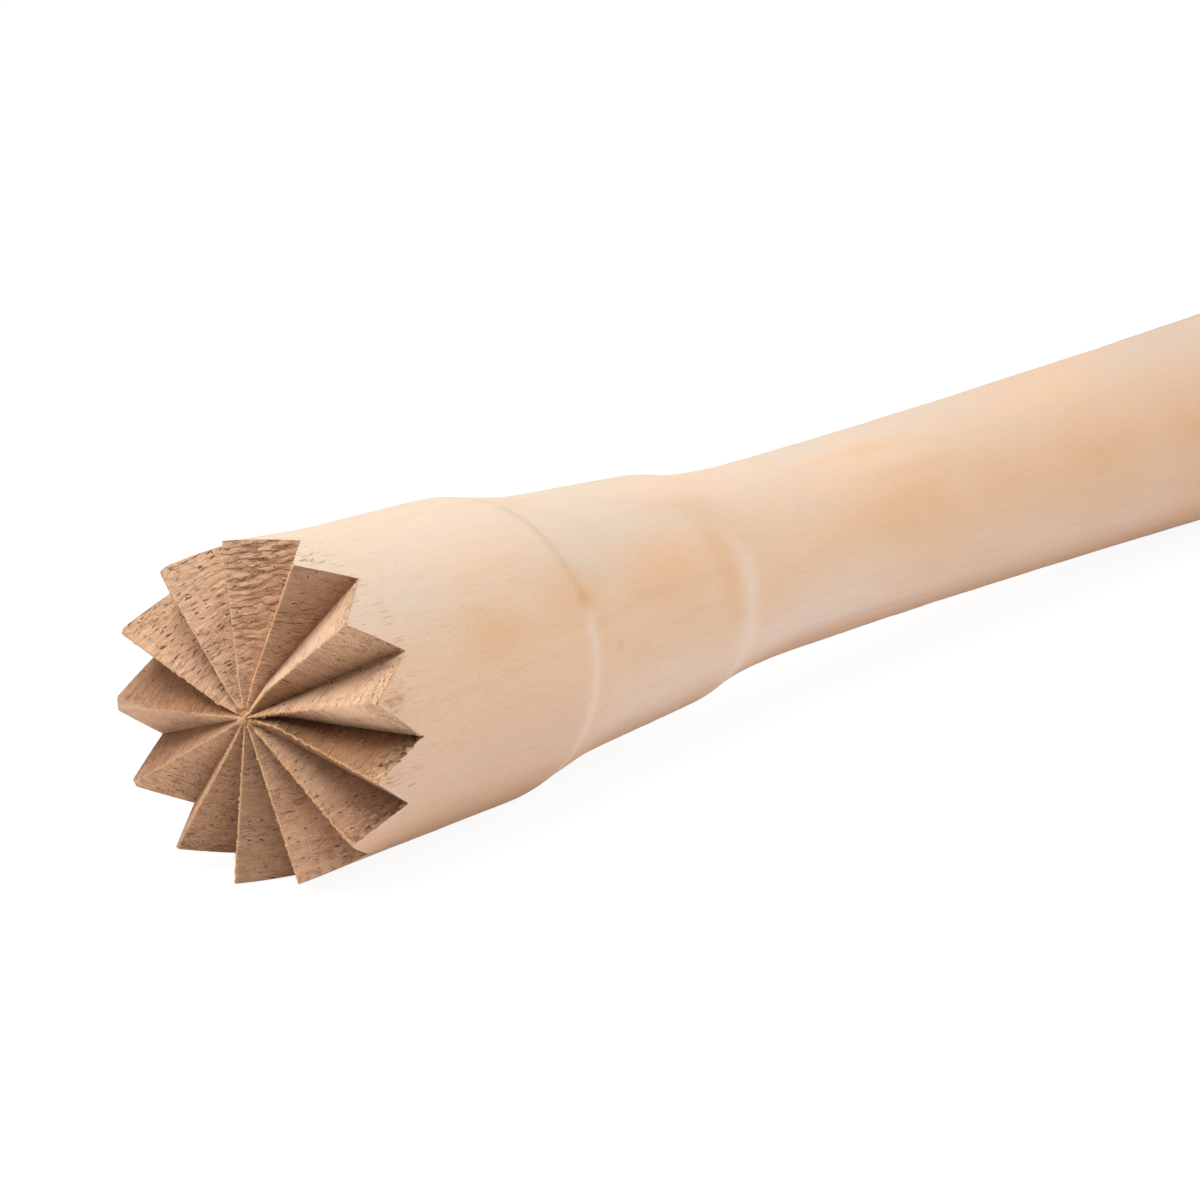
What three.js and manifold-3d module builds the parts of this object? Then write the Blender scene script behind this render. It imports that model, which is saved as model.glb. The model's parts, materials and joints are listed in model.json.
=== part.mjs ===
// Wooden cocktail muddler with a toothed head, lying on its side.
// Millimetres, +Z up. The tool runs along X, with the teeth at -X and the butt at +X.
// Along the tool, a station is a distance from the plane of the tooth tips.

import * as THREE from 'three';
import { mergeVertices } from 'three/addons/utils/BufferGeometryUtils.js';
import Module from 'manifold-3d';

// Toothed head
const HEAD_TIP_DIAMETER = 35.8;
const HEAD_BACK_DIAMETER = 34.4;
const HEAD_BARREL_LENGTH = 36;
const HEAD_SHOULDER_LENGTH = 11;

// Teeth, cut as radial V grooves that meet at one point of the end face
const TOOTH_COUNT = 13;
const GROOVE_DEPTH_AT_RIM = 6.6;
const RIDGE_LAND_WIDTH = 0.4;
const FIRST_RIDGE_DEGREES = 357.7;
const GROOVE_CENTRE_DROP = 0.4;
const GROOVE_OVERRUN = 3;

// Tapered collar
const COLLAR_FRONT_DIAMETER = 30.4;
const COLLAR_BACK_DIAMETER = 27.1;
const COLLAR_TAPER_LENGTH = 25.5;
const COLLAR_SHOULDER_LENGTH = 12.5;

// Handle
const HANDLE_FRONT_DIAMETER = 23.2;
const HANDLE_WAIST_DIAMETER = 23.1;
const HANDLE_BUTT_DIAMETER = 27.2;
const HANDLE_LENGTH = 145;
const HANDLE_WAIST_DISTANCE = 21;
const BUTT_EDGE_RADIUS = 5;

// Joining dowel
const DOWEL_DIAMETER = 10;
const DOWEL_INSERTION = 20;
const DOWEL_FLUTE_COUNT = 12;
const DOWEL_FLUTE_DEPTH = 0.4;
const DOWEL_END_CHAMFER = 0.8;
const DOWEL_CLEARANCE = 0.2;
const DOWEL_END_GAP = 0.6;

// Gap left for glue between the flat faces of the pieces
const GLUE_GAP = 0.2;

// Fineness of the round forms
const FACETS = 32;
const SHOULDER_STEPS = 8;
const SWELL_STEPS = 10;
const BUTT_STEPS = 5;

// Stations that the pieces share
const headBack = HEAD_BARREL_LENGTH + HEAD_SHOULDER_LENGTH;
const collarFront = headBack + GLUE_GAP;
const collarBack = collarFront + COLLAR_TAPER_LENGTH + COLLAR_SHOULDER_LENGTH;
const handleFront = collarBack + GLUE_GAP;
const handleBack = handleFront + HANDLE_LENGTH;
const boreRadius = DOWEL_DIAMETER / 2 + DOWEL_CLEARANCE;
const boreDepth = DOWEL_INSERTION + DOWEL_END_GAP;

const wood = {
  head: new THREE.MeshStandardMaterial({ color: 0xd9b48f, roughness: 0.75, metalness: 0 }),
  collar: new THREE.MeshStandardMaterial({ color: 0xe6ccb0, roughness: 0.6, metalness: 0 }),
  handle: new THREE.MeshStandardMaterial({ color: 0xe8cfb2, roughness: 0.6, metalness: 0 }),
  dowel: new THREE.MeshStandardMaterial({ color: 0xdcb98d, roughness: 0.8, metalness: 0 }),
};

// A profile point: radius out from the axis, station along it.
function at(radius, station) {
  return new THREE.Vector2(radius, station);
}

// A turned shoulder: a soft S between two radii, without its first point.
function shoulder(fromRadius, toRadius, start, length) {
  const points = [];
  for (let step = 1; step <= SHOULDER_STEPS; step += 1) {
    const share = step / SHOULDER_STEPS;
    const ease = (1 - Math.cos(Math.PI * share)) / 2;
    points.push(at(fromRadius + (toRadius - fromRadius) * ease, start + length * share));
  }
  return points;
}

// Turns a profile about the X axis, with a flat facet at the bottom.
function turned(profile) {
  const geometry = new THREE.LatheGeometry(profile, FACETS, Math.PI / FACETS);
  return geometry.rotateZ(-Math.PI / 2);
}

const wasm = await Module();
wasm.setup();

function toSolid(geometry) {
  const bare = geometry.clone();
  bare.deleteAttribute('normal');
  bare.deleteAttribute('uv');
  const welded = mergeVertices(bare);
  const index = welded.index.array;
  const triangles = [];
  for (let i = 0; i < index.length; i += 3) {
    const [a, b, c] = index.slice(i, i + 3);
    if (a !== b && b !== c && c !== a) triangles.push(a, b, c);
  }
  const mesh = new wasm.Mesh({
    numProp: 3,
    vertProperties: new Float32Array(welded.attributes.position.array),
    triVerts: new Uint32Array(triangles),
  });
  return new wasm.Manifold(mesh);
}

function toGeometry(solid) {
  const mesh = solid.getMesh();
  const geometry = new THREE.BufferGeometry();
  geometry.setAttribute('position', new THREE.BufferAttribute(mesh.vertProperties, 3));
  geometry.setIndex(new THREE.BufferAttribute(mesh.triVerts, 1));
  geometry.computeVertexNormals();
  return geometry;
}

// One V groove as a prism, with its keel sloping from the middle down to the rim.
function grooveCutter(degrees) {
  const halfPitch = Math.PI / TOOTH_COUNT;
  const tipRadius = HEAD_TIP_DIAMETER / 2;
  const start = RIDGE_LAND_WIDTH / 2 / Math.sin(halfPitch);
  const slope = Math.atan2(GROOVE_DEPTH_AT_RIM, tipRadius - start);
  const length = (tipRadius + GROOVE_OVERRUN) / Math.cos(slope);
  const height = GROOVE_DEPTH_AT_RIM + GROOVE_OVERRUN;
  const halfWidth = (height * Math.tan(halfPitch)) / Math.sin(slope);
  const section = new THREE.Shape([
    new THREE.Vector2(0, 0),
    new THREE.Vector2(halfWidth, height),
    new THREE.Vector2(-halfWidth, height),
  ]);
  const prism = new THREE.ExtrudeGeometry(section, { depth: length, bevelEnabled: false });

  const angle = THREE.MathUtils.degToRad(degrees);
  const outward = new THREE.Vector3(0, Math.cos(angle), Math.sin(angle));
  const inward = new THREE.Vector3(1, 0, 0);
  const keel = outward.clone().multiplyScalar(Math.cos(slope)).addScaledVector(inward, Math.sin(slope));
  const up = outward.clone().multiplyScalar(Math.sin(slope)).addScaledVector(inward, -Math.cos(slope));
  const across = up.clone().cross(keel);
  const place = new THREE.Matrix4().makeBasis(across, up, keel);
  place.setPosition(outward.multiplyScalar(start).add(new THREE.Vector3(0, 0, -GROOVE_CENTRE_DROP)));
  return prism.applyMatrix4(place);
}

function headGeometry() {
  const tipRadius = HEAD_TIP_DIAMETER / 2;
  const barrelRadius = HEAD_BACK_DIAMETER / 2;
  const blank = turned([
    at(0, 0),
    at(tipRadius, 0),
    at(barrelRadius, HEAD_BARREL_LENGTH),
    ...shoulder(barrelRadius, COLLAR_FRONT_DIAMETER / 2, HEAD_BARREL_LENGTH, HEAD_SHOULDER_LENGTH),
    at(boreRadius, headBack),
    at(boreRadius, headBack - boreDepth),
    at(0, headBack - boreDepth),
  ]);
  let solid = toSolid(blank);
  for (let groove = 0; groove < TOOTH_COUNT; groove += 1) {
    const degrees = FIRST_RIDGE_DEGREES + ((groove + 0.5) * 360) / TOOTH_COUNT;
    solid = solid.subtract(toSolid(grooveCutter(degrees)));
  }
  return toGeometry(solid);
}

function collarGeometry() {
  const frontRadius = COLLAR_FRONT_DIAMETER / 2;
  const backRadius = COLLAR_BACK_DIAMETER / 2;
  const taperEnd = collarFront + COLLAR_TAPER_LENGTH;
  return turned([
    at(boreRadius, collarFront),
    at(frontRadius, collarFront),
    at(backRadius, taperEnd),
    ...shoulder(backRadius, HANDLE_FRONT_DIAMETER / 2, taperEnd, COLLAR_SHOULDER_LENGTH),
    at(boreRadius, collarBack),
    at(boreRadius, collarFront),
  ]);
}

// The handle narrows to its waist, then swells towards the butt.
function handleSwell() {
  const frontRadius = HANDLE_FRONT_DIAMETER / 2;
  const waistRadius = HANDLE_WAIST_DIAMETER / 2;
  const buttRadius = HANDLE_BUTT_DIAMETER / 2;
  const waist = handleFront + HANDLE_WAIST_DISTANCE;
  const swellEnd = handleBack - BUTT_EDGE_RADIUS;
  const points = [at(frontRadius, handleFront), at(waistRadius, waist)];
  for (let step = 1; step <= SWELL_STEPS; step += 1) {
    const share = step / SWELL_STEPS;
    const radius = waistRadius + (buttRadius - waistRadius) * share * share;
    points.push(at(radius, waist + (swellEnd - waist) * share));
  }
  return points;
}

function buttEdge() {
  const points = [];
  for (let step = 1; step <= BUTT_STEPS; step += 1) {
    const turn = ((Math.PI / 2) * step) / BUTT_STEPS;
    const inset = BUTT_EDGE_RADIUS * (1 - Math.cos(turn));
    const along = BUTT_EDGE_RADIUS * (Math.sin(turn) - 1);
    points.push(at(HANDLE_BUTT_DIAMETER / 2 - inset, handleBack + along));
  }
  return points;
}

function handleGeometry() {
  return turned([
    at(0, handleFront + boreDepth),
    at(boreRadius, handleFront + boreDepth),
    at(boreRadius, handleFront),
    ...handleSwell(),
    ...buttEdge(),
    at(0, handleBack),
  ]);
}

// A fluted dowel with chamfered ends, through the collar and into both neighbours.
function dowelGeometry() {
  const start = headBack - DOWEL_INSERTION;
  const end = handleFront + DOWEL_INSERTION;
  const outer = DOWEL_DIAMETER / 2;
  const inner = outer - DOWEL_FLUTE_DEPTH;
  const pointsPerFlute = 4;
  const outline = [];
  for (let i = 0; i < DOWEL_FLUTE_COUNT * pointsPerFlute; i += 1) {
    const angle = (i * 2 * Math.PI) / (DOWEL_FLUTE_COUNT * pointsPerFlute);
    const radius = i % pointsPerFlute === 0 ? inner : outer;
    outline.push(new THREE.Vector2(radius * Math.cos(angle), radius * Math.sin(angle)));
  }
  const body = new THREE.ExtrudeGeometry(new THREE.Shape(outline), {
    depth: end - start - 2 * DOWEL_END_CHAMFER,
    bevelThickness: DOWEL_END_CHAMFER,
    bevelSize: DOWEL_END_CHAMFER,
    bevelOffset: -DOWEL_END_CHAMFER,
    bevelSegments: 1,
  });
  return body.translate(0, 0, start + DOWEL_END_CHAMFER).rotateY(Math.PI / 2);
}

function named(name, geometry, material) {
  const mesh = new THREE.Mesh(geometry, material);
  mesh.name = name;
  return mesh;
}

// The pieces share the tool's axis. The tool leans so that head and butt both touch the floor.
const tool = new THREE.Group();
tool.add(named('toothed_head', headGeometry(), wood.head));
tool.add(named('neck_collar', collarGeometry(), wood.collar));
tool.add(named('handle', handleGeometry(), wood.handle));
tool.add(named('joining_dowel', dowelGeometry(), wood.dowel));
const drop = ((HEAD_TIP_DIAMETER - HANDLE_BUTT_DIAMETER) / 2) * Math.cos(Math.PI / FACETS);
tool.rotation.y = Math.asin(drop / (handleBack - BUTT_EDGE_RADIUS));

// The floor is z = 0, and the origin lies under the middle of the tool.
const box = new THREE.Box3().setFromObject(tool, true);
const middle = box.getCenter(new THREE.Vector3());
tool.position.set(-middle.x, -middle.y, -box.min.z);

const muddler = new THREE.Group();
muddler.add(tool);

export default muddler;
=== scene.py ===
"""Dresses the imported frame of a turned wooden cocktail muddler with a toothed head.

Sizes are in millimetres in tool coordinates: x is the station along the tool, counted from the
plane of the tooth tips towards the butt, y runs across the tool and z is up. Angles about the
axis run from +y towards +z. Crests and grooves are counted from 0, each groove after its crest,
and a groove has flank 0 before its valley and flank 1 after it.
"""

import json
import math

import bpy
import numpy as np
from mathutils import Matrix, Vector, noise

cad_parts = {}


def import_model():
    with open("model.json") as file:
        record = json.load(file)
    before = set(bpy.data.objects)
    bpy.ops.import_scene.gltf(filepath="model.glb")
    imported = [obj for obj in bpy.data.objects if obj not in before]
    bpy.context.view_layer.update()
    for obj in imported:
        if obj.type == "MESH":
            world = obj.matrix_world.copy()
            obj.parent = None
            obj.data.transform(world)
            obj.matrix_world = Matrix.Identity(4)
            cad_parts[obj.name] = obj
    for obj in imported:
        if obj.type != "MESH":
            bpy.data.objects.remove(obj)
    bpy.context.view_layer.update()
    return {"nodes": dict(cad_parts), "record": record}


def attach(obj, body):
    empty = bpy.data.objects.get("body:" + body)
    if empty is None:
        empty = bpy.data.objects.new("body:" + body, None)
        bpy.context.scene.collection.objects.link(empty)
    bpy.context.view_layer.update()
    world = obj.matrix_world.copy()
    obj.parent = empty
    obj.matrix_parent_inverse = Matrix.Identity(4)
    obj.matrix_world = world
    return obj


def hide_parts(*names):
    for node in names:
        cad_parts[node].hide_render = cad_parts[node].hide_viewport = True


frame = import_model()

MM = 0.001
FULL_TURN = 2 * math.pi
ALONG = Vector((1, 0, 0))

# The turned form
HEAD_TIP_RADIUS = 17.9
HEAD_BACK_RADIUS = 17.2
HEAD_BARREL_LENGTH = 36.0
HEAD_SHOULDER_LENGTH = 11.0
TAPER_FRONT_RADIUS = 15.17
TAPER_BACK_RADIUS = 13.61
COLLAR_TAPER_LENGTH = 25.5
COLLAR_SHOULDER_LENGTH = 12.5
HANDLE_WAIST_RADIUS = 11.55
HANDLE_BUTT_RADIUS = 13.6
HANDLE_LENGTH = 145.0
HANDLE_WAIST_DISTANCE = 21.0
HANDLE_SWELL_POWER = 1.6
BUTT_EDGE_RADIUS = 5.0
BORE_RADIUS = 5.2
BORE_DEPTH = 20.6
GLUE_GAP = 0.2

# Stations that the pieces share, each seam in the middle of its glue gap
HEAD_BACK = HEAD_BARREL_LENGTH + HEAD_SHOULDER_LENGTH
COLLAR_FRONT = HEAD_BACK + GLUE_GAP
TAPER_END = COLLAR_FRONT + COLLAR_TAPER_LENGTH
COLLAR_BACK = TAPER_END + COLLAR_SHOULDER_LENGTH
HANDLE_FRONT = COLLAR_BACK + GLUE_GAP
HANDLE_WAIST = HANDLE_FRONT + HANDLE_WAIST_DISTANCE
HANDLE_BACK = HANDLE_FRONT + HANDLE_LENGTH
SWELL_END = HANDLE_BACK - BUTT_EDGE_RADIUS
HEAD_SEAM = HEAD_BACK + GLUE_GAP / 2
HANDLE_SEAM = COLLAR_BACK + GLUE_GAP / 2

# Shoulders as the photo shows them: start, length, power and step
HEAD_FALL = (35.7, 15.9, 0.78, 39.0)
COLLAR_FALL = (74.8, 26.0, 0.5, 73.7)
STEP_LENGTH = 3.0
STEP_SHARE = 0.11

# Painted highlights in pale lines on the shoulders: station and half width, and the heights where they fade
SHOULDER_HIGHLIGHT_LINES = ((39.2, 1.3), (74.2, 2.0))
SHOULDER_HIGHLIGHT_HEIGHTS = (9.0, 4.0)

# Painted shade in a faint darker line on the upper half of the first shoulder
SHOULDER_SHADE_STATION = 39.0
SHOULDER_SHADE_HALF_WIDTH = 0.85
SHOULDER_SHADE_HEIGHTS = (5.0, 10.0)

# Teeth: V grooves cut by hand, so each one drifts a little from an even pitch
TOOTH_COUNT = 13
PITCH = FULL_TURN / TOOTH_COUNT
GROOVE_DEPTH_AT_RIM = 6.6
CREST_LAND = 0.16
FIRST_RIDGE_DEGREES = 357.7
GROOVE_CENTRE_RISE = 0.2
TIP_ADVANCE = 0.4
CREST_DRIFT_DEGREES = (-2.5, -2.5, -2, 1.2, 3.7, 4.2, 3, 4.5, -0.2, 0, 0, -1, -2)
VALLEY_DRIFT_DEGREES = (-2.5, -2.5, -0.5, 1, 2.5, 2, 6.6, 1, 0, 0, -0.5, -1.5, -3)
CREST_SHIFT = (0, -0.45, -0.2, -0.3, -0.6, -0.75, -0.25, -0.85, 0, 0, 0, -0.15, 0)
VALLEY_SHIFT = (0, 0, 0, 0, -0.75, 0, -0.8, 0, 0, 0, 0, 0, 0)
SHIFT_NEAREST = 4.0
RIM_TRIES = 12

# The toothed rim flares a little, more to one side and most of all at the top
TIP_FLARE = 0.2
TIP_FLARE_SIDE = math.radians(25)
TIP_FLARE_LENGTH = 20.0
TOP_FLARE = 0.75
TOP_FLARE_POWER = 6

# Torn grain, in millimetres of relief, on the two flanks of each groove
TORN_RELIEF = (
    (0.06, 0.03), (0.12, 0.04), (0.16, 0.05), (0.36, 0.05), (0.03, 0.03), (0.03, 0.03), (0.04, 0.08),
    (0.05, 0.08), (0.06, 0.06), (0.04, 0.05), (0.04, 0.05), (0.04, 0.05), (0.04, 0.03),
)

# Painted light and shade on each flank, with the wood's own tone: brightness against the average, near the
# centre and at the rim
FLANK_LIGHT_AND_TONE = (
    ((0.82, 0.93), (1.1, 1.1)), ((1.25, 1.32), (1.1, 1.1)), ((1.2, 1.45), (1.1, 1.1)),
    ((1.2, 1.35), (1.4, 1.5)), ((1.2, 0.97), (1.7, 1.82)), ((0.7, 1.4), (1.3, 1.6)),
    ((0.48, 2.3), (0.54, 0.79)), ((0.62, 0.95), (1.2, 0.95)), ((1.0, 1.25), (1.05, 1.2)),
    ((1.0, 1.0), (1.0, 1.05)), ((1.0, 1.03), (1.1, 1.1)), ((1.1, 1.2), (1.3, 1.35)),
    ((0.95, 0.95), (1.33, 1.4)),
)
LIGHT_AND_TONE_CHANGE = (0.15, 0.85)

# How strongly shade is painted on the two flanks of each groove, at the valley
VALLEY_SHADE = (
    (0.1, 0.05), (0.1, 0.05), (0.1, 0.05), (0.1, 0.05), (0.25, 0.0), (0.72, 0.05), (0.6, 0.45),
    (0.4, 0.12), (0.2, 0.12), (0.15, 0.2), (0.15, 0.2), (0.1, 0.15), (0.15, 0.12),
)
VALLEY_SHADE_WIDTH = 0.9
VALLEY_SHADE_FROM_CENTRE = (0.4, 1.5)

# Orange spots, mostly painted shade along the shaded band on the -y side between top light and floor bounce,
# and a few plain orange patches elsewhere: station, angle, strength, half length, half width
ORANGE_SHADE_AND_PATCH_SPOTS = (
    (23, 154, 0.44, 8.0, 3.2), (39.5, 152.5, 0.85, 2.3, 1.6), (36, 149, 0.4, 8.0, 3.4),
    (58, 150, 0.32, 9.0, 4.4), (69.5, 150, 0.4, 2.6, 6.5), (112, 157, 0.42, 14.0, 3.6),
    (132, 157, 0.3, 10.0, 4.0), (152, 158, 0.36, 14.0, 3.6), (177, 163, 0.4, 9.0, 4.5),
    (180, 197, 0.3, 9.0, 7.0), (45.3, 174.5, 0.5, 0.6, 0.6), (90, 20, 0.35, 11.0, 3.0),
    (140, 310, 0.3, 12.0, 3.0), (30, 330, 0.35, 8.0, 3.0),
)

# A point on the line about which the growth rings run
HEART = (0.0, 34.0, -48.0)

# Depth of the chips at the rim, by groove and flank, and where they lie
RIM_CHIPS = {(6, 1): 0.6, (7, 1): 0.45, (8, 1): 0.15}
CHIP_SHARE = (-0.1, 0.35)
CHIP_FROM_RIM = (2.4, 0.2)

# How far each flank pales and cracks at the rim, by groove and flank: torn wood, made paler still as painted
# light where the light only grazes it
RIM_PALENESS_AND_LIGHT = {
    (4, 1): 0.5, (5, 0): 0.25, (5, 1): 0.6, (6, 0): 0.6, (6, 1): 0.85, (7, 1): 0.25, (8, 1): 0.15,
}
PALE_FROM_RIM = (3.2, 0.0)
PALE_FROM_VALLEY = (0.0, 1.0)

# Noise that shapes surfaces: size, cycles per millimetre along each axis, and offset
GOUGE_LAYERS = ((0.05, (0.12, 0.09, 0.09), 0.0), (0.02, (0.5, 0.2, 0.2), 31.7))
RIPPLE_LAYERS = ((1.0, (0.55, 2.2, 1), 0.0), (0.7, (1.1, 4.4, 1), 17.3))
CHIP_LAYERS = ((1.0, (1.3, 1.9, 1), 5.1), (0.4, (3, 4, 1), 9.4))
RAGGED_LAYERS = ((1.0, (1, 1.5, 1), 41.0), (0.7, (1, 2.9, 1), 53.0))
BURR_LAYERS = ((1.1, (1.5, 1.6, 1.6), 71.0),)

# Distances over which the torn grain fades, and its share at the rim
CALM_CENTRE = (0.8, 3.0)
TORN_FROM_CENTRE = (2.0, 11.0)
CALM_VALLEY = (0.0, 0.5)
CALM_CREST = (0.05, 0.5)
CALM_RIM = (0.0, 0.6)
TORN_AT_RIM = 0.3

# How ragged each crest is, in height and sideways
CREST_RAGGED = (0.06, 0.14, 0.09, 0.05, 0.05, 0.06, 0.2, 0.2, 0.34, 0.16, 0.18, 0.18, 0.14)
CREST_LOSS = 0.45
CREST_LOSS_SWING = 0.8
WANDER_SWING = 1.2
WANDER_WIDTH = 0.5
WANDER_FROM_CENTRE = (2.0, 5.0)
WANDER_FROM_RIM = (0.0, 0.6)

# The pale line on each crest, and how far it fades outwards
CREST_WIDTH = 0.09
CREST_FADING = (0, 0.2, 0.6, 0.9, 0.1, 0.7, 0.5, 0, 0, 0, 0, 0, 0)
CREST_FADE = (5.0, 12.0)
CHIPPED_FULL = 0.2
CHIPPED_PALENESS = 0.7

# Wear of each crest's outer tip: depth, length and paleness, and the depths that show fully
TIP_WEAR = (
    (1.1, 5.5, 0.7), (0.5, 1.2, 0.15), (0.8, 1.8, 0.15), (0.15, 0.5, 0), (0.15, 0.5, 0),
    (0.15, 0.5, 0), (0.2, 0.8, 0), (0.15, 0.5, 0), (0.5, 1.5, 0.2), (0.15, 0.5, 0),
    (0.15, 0.5, 0), (0.2, 0.6, 0), (0.6, 1.5, 0.6),
)
WORN_FULL = 0.15
# Relief at which the painted shade in hollows and highlight on humps show fully
RELIEF_SHADE_FULL = 0.12

# The small burr in the middle, where the crests run out
BURR_RADIUS = 1.1
BURR_RISE = 0.15
BURR_PALENESS = 0.6

# Distance that keeps the patterns of neighbouring flanks apart
FLANK_SPACING = 37.0

# Torn fibres on each crest: how many, and their distances from the centre
FIBRES = (
    (14, 1, 16), (34, 1, 13), (20, 1, 12), (8, 1, 5), (8, 1, 5), (10, 1, 6), (44, 1, 7),
    (40, 1, 17), (120, 1, 17), (46, 1, 17), (44, 1, 17), (40, 1, 17), (36, 1, 17),
)
CENTRE_FIBRES = 5
CENTRE_NEAREST = 0.1
FIBRE_SEED = 7
FIBRE_SEAT = 0.1
FIBRE_ASIDE = 0.08
FIBRE_LEAN_DEGREES = (5, 50)
FIBRE_FORWARD = 0.6
FIBRE_SLANT = 0.7
FIBRE_LENGTH = (0.12, 0.55)
FIBRE_WIDTH = (0.08, 0.2)
FIBRE_PALENESS = 0.85
# Painted light and tone of the fibres
FIBRE_LIGHT_AND_TONE = 1.2

# Splinters on the side behind torn tips: crest, how many, half angle and farthest station
SPLINTERS = ((6, 26, 6.0, 4.0), (4, 10, 5.0, 4.5), (7, 12, 4.0, 3.0))
SPLINTER_NEAREST = 0.5
SPLINTER_SPREAD = 1.4
SPLINTER_LIFT = (0.02, 0.2)
SPLINTER_SLANT = 0.2
SPLINTER_LENGTH = (0.6, 1.8)
SPLINTER_WIDTH = (0.1, 0.22)
SPLINTER_PALENESS = 0.4
SPLINTER_CUT = 0.3

# Fibres frayed over the rim: groove, flank and how many
RIM_FIBRES = ((4, 1, 16), (5, 0, 12), (5, 1, 44), (6, 0, 24))
RIM_FIBRE_SEAT = 0.06
RIM_FIBRE_LIFT = (0.1, 0.4)
RIM_FIBRE_SLANT = 0.6
RIM_FIBRE_LENGTH = (0.25, 0.8)

# Fineness of the meshes
FLANK_COLUMNS = 24
CREST_STEPS = (0, 0.09, 0.2, 0.4)
FACE_ROWS = 88
FIRST_ROW = 0.012
LAST_ROW = 0.995
RIM_STEPS = (0.06, 0.18, 0.4, 0.8, 1.4, 2.2)
BARREL_ROWS = 25
SHOULDER_ROWS = 24
LATHE_COLUMNS = 192
ROW_LENGTH = 0.6
BUTT_EDGE_ROWS = 12
BUTT_FLAT_ROWS = 5
SHARP_DEGREES = 60
SLIVER_SIDES = 3

# Texture map: discs for the ends, strips for the side and the bore
BAKE_MAP = "OFBake"
MAP_SIDE = ("strip", (0.005, 0.99), 0.01, 0.48)
MAP_STRIP = ("strip", (0.005, 0.99), 0.985, 0.995)
MAP_FRONT = ("disc", (0.25, 0.735), 0.0, 0.235)
MAP_BACK = ("disc", (0.75, 0.735), 0.235, 0.0)

# Colours as seen on screen: the sanded side, then the cut flanks, then the dowel
PALETTE = {
    "sheen_top_front": (217, 196, 175), "sheen_top_back": (209, 194, 178), "middle": (228, 194, 164),
    "bounce_low_front": (225, 192, 168), "bounce_low_back": (231, 207, 190), "grip": (206, 171, 145),
    "underside": (220, 178, 146), "butt": (212, 172, 134), "growth_ring": (205, 160, 122),
    "streak": (218, 176, 138), "orange_shade_and_patch": (217, 164, 112), "shoulder_highlight": (236, 217, 202),
    "shoulder_shade": (186, 138, 100), "side_fibre": (200, 156, 122), "dust": (192, 146, 114),
    "vessel": (150, 104, 78), "tear": (186, 124, 78),
    "pale_band": (203, 164, 133), "dark_band": (184, 142, 111), "patch": (180, 140, 116),
    "dark_fibre": (160, 115, 85), "pale_fibre": (222, 184, 150), "dark_speck": (132, 91, 65),
    "pale_speck": (230, 194, 160), "relief_shade": (128, 84, 56), "hump": (226, 184, 146),
    "pale_flank": (233, 202, 171), "scale_shadow": (112, 74, 50), "scale_edge": (226, 188, 152),
    "crack": (112, 72, 48), "lip": (232, 198, 168), "pore": (104, 68, 48), "dot": (104, 68, 47),
    # The rim colour is paler torn wood and painted light together
    "rim": (236, 194, 154), "split": (150, 92, 56), "valley_shade": (92, 60, 42), "crest": (236, 187, 138),
    "worn": (222, 188, 158),
    "pale_dowel": (214, 180, 138), "dark_dowel": (186, 146, 104),
}
# Warmer filter for flanks painted as shaded
SHADED_FLANK_FILTER = (1.0, 0.87, 0.76, 1.0)

# How far a colour covers at most, where it never covers wholly
COVER = {
    "butt": (0.6,), "shoulder_highlight": (0.5,), "scale_shadow": (0.7,), "pore": (0.8,), "dot": (0.7,), "split": (0.75,),
}

# Noise patterns: cycles per millimetre along each axis, detail and roughness
PATTERNS = {
    "drift": ((0.035, 0.1, 0.1), 2, 0.5), "wave": ((0.02, 0.06, 0.06), 2, 0.5),
    "ring": ((0.9, 1, 1), 2, 0.6), "streak": ((0.03, 0.35, 0.35), 3, 0.55),
    "cloud": ((0.16, 0.4, 0.4), 3, 0.6), "side_fibre": ((0.25, 5, 5), 3, 0.6),
    "dust": ((2.2, 5.5, 5.5), 2, 0.6),
    "patch": ((0.16, 0.22, 1), 2, 0.5), "band": ((0.35, 1.3, 1), 3, 0.6),
    "fibre": ((1.1, 7, 1), 3, 0.6), "speck": ((6, 9, 1), 2, 0.6),
    "bend": ((0.35, 0.35, 1), 1, 0.5), "curl": ((1.1, 1.3, 1), 1, 0.5),
    "crack": ((0.3, 1.7, 1), 3, 0.55), "fray": ((0.9, 2.2, 1), 3, 0.6),
    "split": ((0.8, 1.8, 1), 2, 0.6), "fuzz": ((2, 3.5, 1), 2, 0.5),
    "dowel": ((0.2, 3, 3), 4, 0.6),
}
NOISE_MIDDLE = 0.5
SPLIT_LEVEL = 0.52
DRIFT_HEIGHT = 16.0
WAVE_HEIGHT = 9.0
SCALE_BEND = 2.2
SCALE_CURL = 0.8
SCALES_PER_MM = 1.25
WOBBLE = {"Scale": 1.3, "Detail": 2.0}
WOBBLE_SIZE = (0.5, 0.5, 0)

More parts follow.
